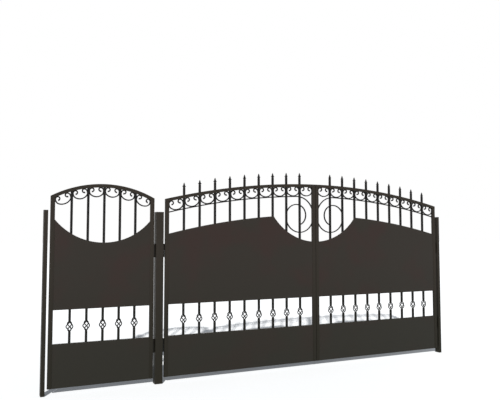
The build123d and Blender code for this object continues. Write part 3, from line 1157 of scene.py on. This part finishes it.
@dataclass
class Scrollwork:
    """The C scrolls of one panel and, on a leaf, the bar under them that ends in the volute."""

    panel: Panel
    curl_turn: float = 195
    curl_swell: float = 1.45
    swell_reach: float = 22
    swell_power: float = 1.5
    side_room: float = 0.5
    point_pitch: float = 3.0
    closest_points: float = 0.05
    sink: float = 2.0
    arch_points: int = 160
    shoulder_radius: float = 229
    volute_drop: float = 20
    inner_radii: tuple[float, ...] = (150, 131)
    tail_radius: float = 127
    tail_turn: float = 72

    def arc(self, centre: tuple[float, float], radius: float, start: float, end: float) -> Array:
        """Points of an arc after its first: the centre plus the radius times (cos, sin), at the point pitch.

        Args:
            centre: The arc's centre.
            radius: Its radius.
            start, end: Its angles, in degrees.

        Returns:
            The points, one row each.
        """
        count = max(3, int(np.ceil(abs(np.radians(end - start)) * radius / self.point_pitch)))
        angles = np.radians(np.linspace(start, end, count + 1)[1:])
        return np.array(centre) + radius * np.stack([np.cos(angles), np.sin(angles)], axis=1)

    def scroll_line(self, lobe_offset: float) -> Array:
        """Centre line from curl to curl, about the middle between its lobes.

        Half of it is the belly's arc, the corner's arc on to upright, a short straight side, the lobe's
        quarter and the curl; the other half is its mirror image. The belly's radius is the one at which
        it meets the corner's arc smoothly.

        Args:
            lobe_offset: Distance of each lobe's centre from the middle.

        Returns:
            The line's points, one row each.
        """
        scroll = self.panel.scroll
        lobe, corner, rise = scroll.lobe_radius, scroll.corner_radius, scroll.belly_rise
        low = lobe - (scroll.height - SIZES.flat_thickness)
        inwards = lobe_offset + lobe - corner
        belly = (inwards**2 + rise**2 - corner**2) / (2 * (rise - corner))
        meet = float(np.degrees(np.arctan2(rise - belly, inwards)))
        half = np.concatenate([
            self.arc((0, low + belly), belly, -90, meet),
            self.arc((inwards, low + rise), corner, meet, 0),
            [[lobe_offset + lobe, 0.0]],
            self.arc((lobe_offset, 0), lobe, 0, 90),
            self.arc((lobe_offset, lobe - scroll.curl_radius), scroll.curl_radius, 90, 90 + self.curl_turn),
        ])
        return np.concatenate([half[::-1] * [-1, 1], [[0.0, low]], half])

    def runs(self, line: Array, low_u: float, high_u: float) -> list[Array]:
        """The stretches of a line between two uprights.

        The line is split where it crosses the limits, and the crossing points are worked out on its
        chords, so that every stretch ends square on its limit.

        Args:
            line: Points (u, z) of the line.
            low_u, high_u: The limits, a little inside the uprights.

        Returns:
            The stretches, from the line's start to its end.
        """
        inside = (line[:, 0] >= low_u) & (line[:, 0] <= high_u)
        steps = np.flatnonzero(inside[1:] != inside[:-1])
        cuts = []
        for i in steps:
            limit = low_u if min(line[i, 0], line[i + 1, 0]) < low_u else high_u
            share = (limit - line[i, 0]) / (line[i + 1, 0] - line[i, 0])
            cuts.append(line[i] + share * (line[i + 1] - line[i]))
        bounds = np.concatenate([[0], steps + 1, [len(line)]])
        found = []
        for n, (start, stop) in enumerate(zip(bounds[:-1], bounds[1:])):
            if not inside[start]:
                continue
            before = [cuts[n - 1]] if n > 0 else []
            after = [cuts[n]] if n < len(cuts) else []
            stretch = np.array([*before, *line[start:stop], *after])
            apart = np.linalg.norm(np.diff(stretch, axis=0), axis=1) > self.closest_points
            found.append(stretch[np.concatenate([[True], apart])])
        return [stretch for stretch in found if len(stretch) > 2]

    @property
    def section(self) -> Array:
        """The flat bar's section: its thickness in the bend's plane, its depth along Y.

        Returns:
            The offsets, one row each.
        """
        thickness = SIZES.flat_thickness + 2 * SIZES.flat_over
        depth = SIZES.flat_depth + 2 * SIZES.flat_depth_over
        return rounded_section(thickness, depth, SIZES.flat_corner, steps=2)

    def flare(self, stretch: Array, ends: tuple[Array, Array]) -> Array:
        """Factors that swell the flat's thickness towards the upset end of a curl.

        Factor = 1 + (swell - 1) * (1 - distance / reach)^power, and 1 further off.

        Args:
            stretch: Points of the bar, one row each.
            ends: The scroll's two ends.

        Returns:
            Factors on thickness and depth, one row per point.
        """
        scale = np.ones((len(stretch), 2))
        for end in ends:
            distance = np.linalg.norm(stretch - end, axis=1)
            near = np.clip(1 - distance / self.swell_reach, 0, 1)
            scale[:, 0] = np.maximum(scale[:, 0], 1 + (self.curl_swell - 1) * near**self.swell_power)
        return scale

    def scrolls(self) -> Form:
        """A scroll in each bay, turned to the arch's slope, in stretches between the uprights.

        Both lobes' centres lie on one circle about the arch's centre, just far enough inside the arch.
        The scroll's middle is sqrt(circle's radius^2 - lobe offset^2) from that centre, and its tilt is
        the arcsine of its distance along u from the crown over that length.

        Returns:
            All of them as one form.
        """
        s, panel = SIZES, self.panel
        outside = panel.scroll.lobe_radius + s.flat_thickness / 2
        forms: list[Form] = []
        for start, end in panel.bays:
            middle = (start + end) / 2
            lobe_offset = (end - start) / 2 - self.side_room - panel.scroll.lobe_radius
            lobes = panel.arch_radius - s.arch_rail_height - outside - s.seat
            radius = np.sqrt(lobes**2 - lobe_offset**2)
            tilt = np.arcsin((panel.crown_u - middle) / radius)
            turn = np.array([[np.cos(tilt), np.sin(tilt)], [-np.sin(tilt), np.cos(tilt)]])
            height = panel.arch_centre + np.sqrt(radius**2 - (middle - panel.crown_u) ** 2)
            line = self.scroll_line(lobe_offset) @ turn + np.array([middle, height])
            for stretch in self.runs(line, start - self.sink, end + self.sink):
                scale = self.flare(stretch, (line[0], line[-1]))
                forms.append(bent_flat(panel.in_plane(stretch), self.section, scale))
        return Form.joined(forms)

    def volute_line(self) -> Array:
        """Centre line of the bar under the scrolls: along the arch, over the shoulder, then inwards.

        Each turn is an arc whose centre lies on the last one's end radius, so that they meet smoothly.

        Returns:
            Points (u, z) of the line.
        """
        s, panel = SIZES, self.panel
        drop = s.arch_rail_height + panel.scroll.height + 2 * s.seat + s.flat_thickness / 2
        right = panel.width - s.stile_width + s.bend_lap
        left = panel.bar_centres[-2] + s.bar / 2 - s.bend_lap
        radius = self.shoulder_radius
        u = right - radius
        z = float(panel.arch_z(u, drop + radius))
        angle = float(np.degrees(np.arctan2(z - panel.arch_centre, u - panel.crown_u)))
        tangent_u = u + radius * np.cos(np.radians(angle))
        along = np.linspace(s.stile_width / 2, tangent_u, self.arch_points)
        pieces = [np.stack([along, panel.arch_z(along, drop)], axis=1), self.arc((u, z), radius, angle, 0)]
        angle = 0.0
        z -= self.volute_drop
        turns = [((right - left) / 2, 180.0)] + [(inner, 90.0) for inner in self.inner_radii]
        turns.append((self.tail_radius, self.tail_turn))
        pieces.append(np.array([[right, z]]))
        for next_radius, turn in turns:
            u += (radius - next_radius) * np.cos(np.radians(angle))
            z += (radius - next_radius) * np.sin(np.radians(angle))
            radius = next_radius
            pieces.append(self.arc((u, z), radius, angle, angle - turn))
            angle -= turn
        return np.concatenate(pieces)

    def volute_bar(self) -> Form:
        """The bar under the scrolls and the volute, in stretches between the uprights.

        Returns:
            All of them as one form.
        """
        line = self.volute_line()
        forms: list[Form] = []
        for start, end in self.panel.bays:
            for stretch in self.runs(line, start - self.sink, end + self.sink):
                forms.append(bent_flat(self.panel.in_plane(stretch), self.section))
        return Form.joined(forms)

    def build(self) -> None:
        """Make the scrolls and the volute bar."""
        hang(self.panel, self.scrolls(), "c_scrolls", FORGED_ENAMEL, "scrolls")
        if self.panel.is_leaf:
            hang(self.panel, self.volute_bar(), "volute_flat", FORGED_ENAMEL, "volute_bar")


@dataclass
class Welds:
    """Weld beads of one panel, round the ends of its bars, spears and balusters."""

    panel: Panel
    radius: float = 2.2
    points: int = 48

    def round_bar(self, u: float, height: Callable[[Array], Array]) -> Form:
        """A bead round a square bar, its points at even distances along the bar's outline.

        Args:
            u: The bar's middle.
            height: Height at each u of the surface that the bar meets.

        Returns:
            The closed form.
        """
        s = SIZES
        loop = rounded_section(s.drawn_bar, s.drawn_bar, s.bar_corner, steps=2)
        outline = np.concatenate([loop, loop[:1]])
        travelled = np.concatenate([[0], np.cumsum(np.linalg.norm(np.diff(outline, axis=0), axis=1))])
        places = np.linspace(0, travelled[-1], self.points, endpoint=False)
        offsets = np.stack([np.interp(places, travelled, outline[:, i]) for i in (0, 1)], axis=1)
        x = float(self.panel.x(u)) + offsets[:, 0]
        path = np.stack([x, s.middle_y + offsets[:, 1], height(self.panel.u(x))], axis=1)
        outwards = np.concatenate([offsets, np.zeros((len(offsets), 1))], axis=1)
        return bead(path, outwards, self.radius)

    def build(self) -> None:
        """Make every bead of the panel as one piece."""
        s, panel = SIZES, self.panel
        levels: list[Callable[[Array], Array]] = [
            lambda u: panel.arch_z(u, s.arch_rail_height), lambda u: np.full(np.shape(u), s.window_top),
            lambda u: np.full(np.shape(u), s.window_bottom),
        ]
        if panel.is_leaf:
            levels.append(lambda u: panel.arch_z(u))
        beads = [self.round_bar(u, height) for u in panel.bar_centres for height in levels]
        hang(panel, Form.joined(beads), "weld_beads", FORGED_ENAMEL)


# The stage


class Reach(Enum):
    """What a lamp lights, as the floor's link state: the floor alone, or everything but the floor."""

    FLOOR = "INCLUDE"
    GATE = "EXCLUDE"


@dataclass(frozen=True)
class Lamp:
    """A distant lamp: strength, then elevation, azimuth and softness in degrees.

    Its azimuth is the way its light travels, turned to the right from straight back.
    """

    name: str
    strength: float
    elevation: float
    azimuth: float
    softness: float
    reach: Reach


@dataclass
class Studio:
    """White floor, plain light, and the camera where the photographer stood.

    The focal length is in pixels of a picture as wide as the frame, the angles are radians, and the eye's
    place is in millimetres. The key's direction lays the arch's shadow on the floor where the windows show
    it. On the gate the key is plain light; on the floor it is stronger, so that the floor is white round
    the shadow. The fill lights the backs.
    """

    focal_px: float = 591.94
    frame_px: float = 500
    sensor: float = 36.0
    yaw: float = 0.45011
    pitch: float = 0.06212
    roll: float = -0.00026
    eye: tuple[float, float, float] = (-1951.6, -6356.9, 1594.8)
    farthest_m: float = 500
    floor_reach: float = 150000.0
    floor_middle: float = 1400.0
    floor_drop: float = 0.5
    lamps: tuple[Lamp, ...] = (
        Lamp("key_on_gate", 2.0, 26.6, 30.4, 1.2, Reach.GATE),
        Lamp("key_on_floor", 5.7, 26.6, 30.4, 1.2, Reach.FLOOR),
        Lamp("fill", 1.6, 30, 204, 40, Reach.GATE),
    )
    sky: float = 0.24
    sky_colour: str = "e6f1ff"

    def camera(self) -> None:
        """The solved camera: its axes are right, up and back, from yaw, pitch and roll."""
        forward = np.array([
            np.sin(self.yaw) * np.cos(self.pitch), np.cos(self.yaw) * np.cos(self.pitch), np.sin(self.pitch),
        ])
        level_right = np.array([np.cos(self.yaw), -np.sin(self.yaw), 0.0])
        level_up = np.cross(level_right, forward)
        right = np.cos(self.roll) * level_right + np.sin(self.roll) * level_up
        up = np.cos(self.roll) * level_up - np.sin(self.roll) * level_right
        data = bpy.data.cameras.new("photographer")
        data.sensor_fit = "HORIZONTAL"
        data.sensor_width = self.sensor
        data.lens = self.focal_px / self.frame_px * self.sensor
        data.clip_end = self.farthest_m
        camera = bpy.data.objects.new("photographer", data)
        axes = np.eye(4)
        axes[:3, :3] = np.stack([right, up, -forward], axis=1)
        axes[:3, 3] = np.array(self.eye) * MM
        camera.matrix_world = Matrix(axes.tolist())
        bpy.context.scene.collection.objects.link(camera)
        bpy.context.scene.camera = camera

    def floor(self) -> None:
        """A wide flat floor just under the posts' feet."""
        corners = self.floor_reach * np.array([[-1, -1], [1, -1], [1, 1], [-1, 1]])
        corners = corners + np.array([self.floor_middle, 0.0])
        vertices = np.concatenate([corners, np.full((4, 1), -self.floor_drop)], axis=1)
        floor = Form(vertices, [np.array([[0, 1, 2, 3]])]).to_object("studio_floor")
        floor.data.materials.append(WhiteSweep().material())

    def lamp(self, lamp: Lamp) -> None:
        """Hang one distant lamp and link it to what it lights.

        Args:
            lamp: The lamp.
        """
        data = bpy.data.lights.new(lamp.name, "SUN")
        data.energy = lamp.strength
        data.angle = np.radians(lamp.softness)
        light = bpy.data.objects.new(lamp.name, data)
        light.rotation_euler = (np.radians(90 - lamp.elevation), 0, -np.radians(lamp.azimuth))
        bpy.context.scene.collection.objects.link(light)
        receivers = bpy.data.collections.new(f"{lamp.name}_receivers")
        receivers.objects.link(bpy.data.objects["studio_floor"])
        receivers.collection_objects[0].light_linking.link_state = lamp.reach.value
        light.light_linking.receiver_collection = receivers

    def white_sky(self) -> None:
        """An even pale blue sky that is white where it is seen."""
        world = bpy.data.worlds.new("white_sky")
        bpy.context.scene.world = world
        world.use_nodes = True
        tree = world.node_tree
        tree.nodes.clear()
        strength = add_node(
            tree, "ShaderNodeMapRange", inputs={"To Min": self.sky, "To Max": 1.0},
            links={"Value": seen_directly(tree)},
        ).outputs["Result"]
        tint = add_node(
            tree, "ShaderNodeMix", {"data_type": "RGBA"},
            {"A": linear(self.sky_colour), "B": linear("ffffff")}, {"Factor": seen_directly(tree)},
        ).outputs["Result"]
        shader = add_node(
            tree, "ShaderNodeBackground", links={"Color": tint, "Strength": strength},
        ).outputs["Background"]
        add_node(tree, "ShaderNodeOutputWorld", links={"Surface": shader})

    def build(self) -> None:
        """Set the stage."""
        self.camera()
        self.floor()
        for lamp in self.lamps:
            self.lamp(lamp)
        self.white_sky()
        bpy.context.scene.view_settings.view_transform = "Standard"


# The whole gate


def even_bars(count: int, width: float) -> tuple[float, ...]:
    """Bar centres with equal clear bays between the stiles.

    Args:
        count: Number of bars.
        width: The panel's width.

    Returns:
        The centres, in u.
    """
    bay = (width - 2 * SIZES.stile_width - count * SIZES.bar) / (count + 1)
    places = SIZES.stile_width + bay * np.arange(1, count + 1) + SIZES.bar * (np.arange(count) + 0.5)
    return tuple(float(place) for place in places)


def pitched_bars(count: int, width: float, pitch: float) -> tuple[float, ...]:
    """Bar centres at a set pitch about the panel's middle."""
    return tuple(float(place) for place in width / 2 + pitch * (np.arange(count) - (count - 1) / 2))


def gate_panels() -> tuple[Panel, ...]:
    """The wicket and the two leaves.

    Returns:
        The panels, from left to right.
    """
    s = SIZES
    wicket = Panel(
        name="wicket", hinged_edge=-s.left_edge, hand=Hand.TO_LEFT, width=s.wicket_width,
        crown_u=s.wicket_width / 2, crown_height=s.wicket_crown_height,
        bar_centres=pitched_bars(s.wicket_bars, s.wicket_width, s.wicket_bar_pitch),
        scroll=ScrollSizes(height=102, lobe_radius=29, curl_radius=18.5, corner_radius=44, belly_rise=55),
        is_leaf=False,
    )
    left_leaf = Panel(
        name="left_leaf", hinged_edge=s.left_edge, hand=Hand.TO_RIGHT, width=s.leaf_width,
        crown_u=s.leaf_width + s.meeting_gap / 2, crown_height=s.leaf_crown_height,
        bar_centres=even_bars(s.leaf_bars, s.leaf_width),
        scroll=ScrollSizes(height=114, lobe_radius=35, curl_radius=20, corner_radius=46, belly_rise=60),
        is_leaf=True,
    )
    right_leaf = replace(left_leaf, name="right_leaf", hinged_edge=s.right_edge, hand=Hand.TO_LEFT)
    return wicket, left_leaf, right_leaf


def main() -> None:
    """Build the gate and its stage."""
    logging.basicConfig(level=logging.INFO, format="%(name)s: %(message)s")
    Studio().build()
    panels = gate_panels()
    Posts().build()
    Hinges().build(panels)
    for panel in panels:
        TubeFrame(panel).build()
        Bars(panel).build()
        Baskets(panel).build()
        Scrollwork(panel).build()
        Welds(panel).build()


if __name__ == "__main__":
    main()
